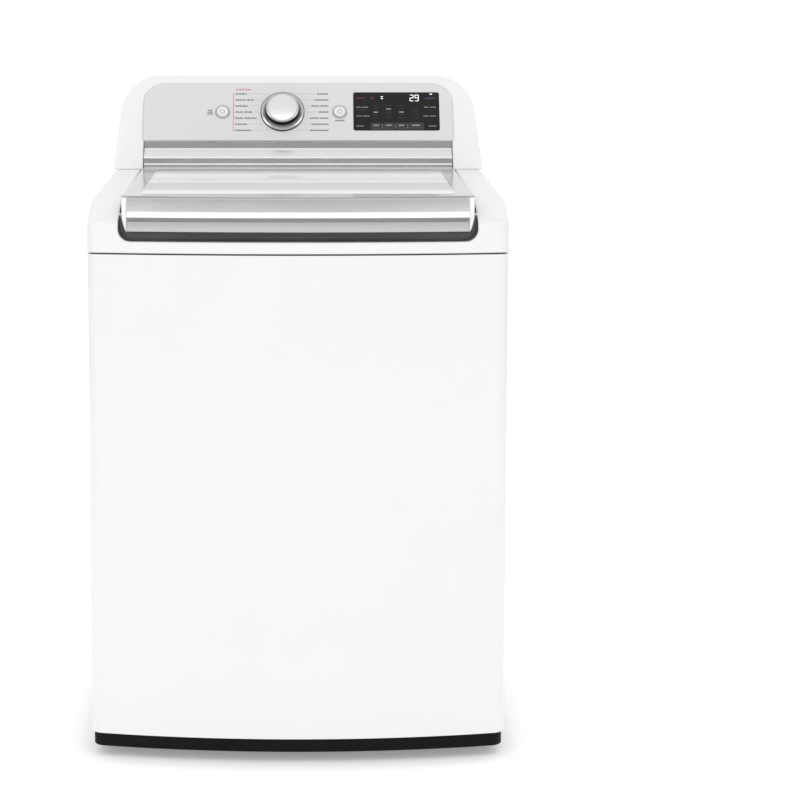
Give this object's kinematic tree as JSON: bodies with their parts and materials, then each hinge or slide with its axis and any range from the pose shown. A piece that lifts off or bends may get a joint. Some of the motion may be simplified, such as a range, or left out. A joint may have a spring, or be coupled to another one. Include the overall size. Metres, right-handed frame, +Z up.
{
  "type": "top load washing machine",
  "caption": "Top load washing machine: white cabinet with a bowed front, glass lid with a silver handle band, leaning console with a dial and display.",
  "frame": {"origin": "on the floor, under the middle of the machine's overall box", "axes": "+X to the right seen from the front, +Y to the rear, +Z up"},
  "size_m": [0.686, 0.72, 1.13],
  "materials": {
    "white_enamel": "smooth white enamel",
    "zinc_steel": "zinc-coated sheet",
    "white_plastic": "glossy white moulding",
    "silver_plastic": "silver lacquer, satin gloss",
    "black_plastic": "fine grain",
    "dark_glass": "gloss black pane",
    "lid_glass": "tempered, lightly tinted",
    "grey_plastic": "moulded grey",
    "tub_plastic": "translucent polypropylene look",
    "stainless": "brushed",
    "spring_steel": "oiled wire",
    "aluminium": "die cast",
    "windings": "enamelled wire on laminations",
    "rubber": "matt",
    "board": "circuit board",
    "blue_plastic": "moulded blue"
  },
  "bodies": {
    "cabinet": {"cabinet_shell": "white_enamel", "rear_panel": "zinc_steel", "rear_panel_screws": "zinc_steel", "base_frame": "black_plastic", "plinth": "black_plastic", "suspension_brackets": "zinc_steel", "suspension_rods": "zinc_steel", "top_cover": "white_plastic", "hinge_brackets": "grey_plastic", "console_housing": "white_plastic", "console_rear_cover": "zinc_steel", "control_panel": "silver_plastic", "hinge_trim": "silver_plastic", "display_glass": "dark_glass", "control_boards": "board", "panel_switches": "black_plastic", "button_bezels": "silver_plastic", "dispenser_housing": "grey_plastic", "inlet_valve": "grey_plastic", "fill_hose": "rubber", "lid_lock_housing": "black_plastic", "drain_pump": "grey_plastic", "drain_hose": "rubber", "drain_port": "black_plastic", "cord_gland": "black_plastic"},
    "lid": {"lid_frame": "silver_plastic", "lid_glass": "lid_glass", "lid_handle": "silver_plastic", "lid_end_caps": "white_plastic", "lid_striker": "zinc_steel", "lid_bumpers": "rubber", "lid_hinge_pins": "stainless"},
    "tub": {"outer_tub": "tub_plastic", "tub_ring": "tub_plastic", "bearing_housing": "aluminium", "tub_bearings": "stainless", "shaft_seal": "rubber", "motor_stator": "windings", "suspension_cups": "grey_plastic", "suspension_springs": "spring_steel", "sump_hose": "rubber"},
    "spin_basket": {"basket": "stainless", "basket_hub": "aluminium", "balance_ring": "grey_plastic", "spin_tube": "stainless"},
    "wash_drive": {"pulsator": "grey_plastic", "pulsator_cap": "blue_plastic", "drive_shaft": "stainless", "motor_rotor": "zinc_steel"},
    "drawer": {"dispenser_drawer": "white_plastic"},
    "dial": {"knob": "silver_plastic", "knob_cap": "silver_plastic"},
    "power_key": {"power_button": "white_plastic"},
    "start_key": {"start_button": "white_plastic"},
    "front_left_foot": {"foot_front_left": "black_plastic"},
    "front_right_foot": {"foot_front_right": "black_plastic"},
    "rear_left_foot": {"foot_rear_left": "black_plastic"},
    "rear_right_foot": {"foot_rear_right": "black_plastic"},
    "lock_bolt": {"lid_lock_bolt": "black_plastic"},
    "impeller": {"pump_impeller": "blue_plastic"}
  },
  "joints": [
    {"name": "lid_hinge", "type": "hinge", "parent": "cabinet", "child": "lid", "pos_m": [0, 0.172, 0.943], "axis": [-1, 0, 0], "range_deg": [0, 97]},
    {"name": "dial_turn", "type": "hinge", "parent": "cabinet", "child": "dial", "pos_m": [-0.029, 0.23907, 1.06095], "axis": [0, -0.8746, 0.4848], "continuous": true},
    {"name": "power_press", "type": "slide", "parent": "cabinet", "child": "power_key", "axis": [0, 0.8746, -0.4848], "range_m": [0, 0.0012], "stiffness_N_per_m": 400, "springref_m": -0.0004},
    {"name": "start_press", "type": "slide", "parent": "cabinet", "child": "start_key", "axis": [0, 0.8746, -0.4848], "range_m": [0, 0.0012], "stiffness_N_per_m": 400, "springref_m": -0.0004},
    {"name": "drawer_slide", "type": "slide", "parent": "cabinet", "child": "drawer", "axis": [0, -1, 0], "range_m": [0, 0.11]},
    {"name": "lock_bolt_slide", "type": "slide", "parent": "cabinet", "child": "lock_bolt", "axis": [0, -1, 0], "range_m": [0, 0.012]},
    {"name": "tub_travel", "type": "slide", "parent": "cabinet", "child": "tub", "axis": [0, 0, 1], "range_m": [-0.02, 0.006], "stiffness_N_per_m": 5200, "springref_m": 0.06609, "deforming": ["suspension_springs", "sump_hose"]},
    {"name": "basket_spin", "type": "hinge", "parent": "tub", "child": "spin_basket", "pos_m": [0, -0.011, 0.25], "axis": [0, 0, 1], "continuous": true},
    {"name": "pulsator_spin", "type": "hinge", "parent": "tub", "child": "wash_drive", "pos_m": [0, -0.011, 0.2], "axis": [0, 0, 1], "continuous": true},
    {"name": "impeller_spin", "type": "hinge", "parent": "cabinet", "child": "impeller", "pos_m": [0.262, 0.06, 0.085], "axis": [0, 0, 1], "continuous": true},
    {"name": "front_left_foot_screw", "type": "slide", "parent": "cabinet", "child": "front_left_foot", "axis": [0, 0, 1], "range_m": [-0.015, 0]},
    {"name": "front_right_foot_screw", "type": "slide", "parent": "cabinet", "child": "front_right_foot", "axis": [0, 0, 1], "range_m": [-0.015, 0]},
    {"name": "rear_left_foot_screw", "type": "slide", "parent": "cabinet", "child": "rear_left_foot", "axis": [0, 0, 1], "range_m": [-0.015, 0]},
    {"name": "rear_right_foot_screw", "type": "slide", "parent": "cabinet", "child": "rear_right_foot", "axis": [0, 0, 1], "range_m": [-0.015, 0]}
  ]
}
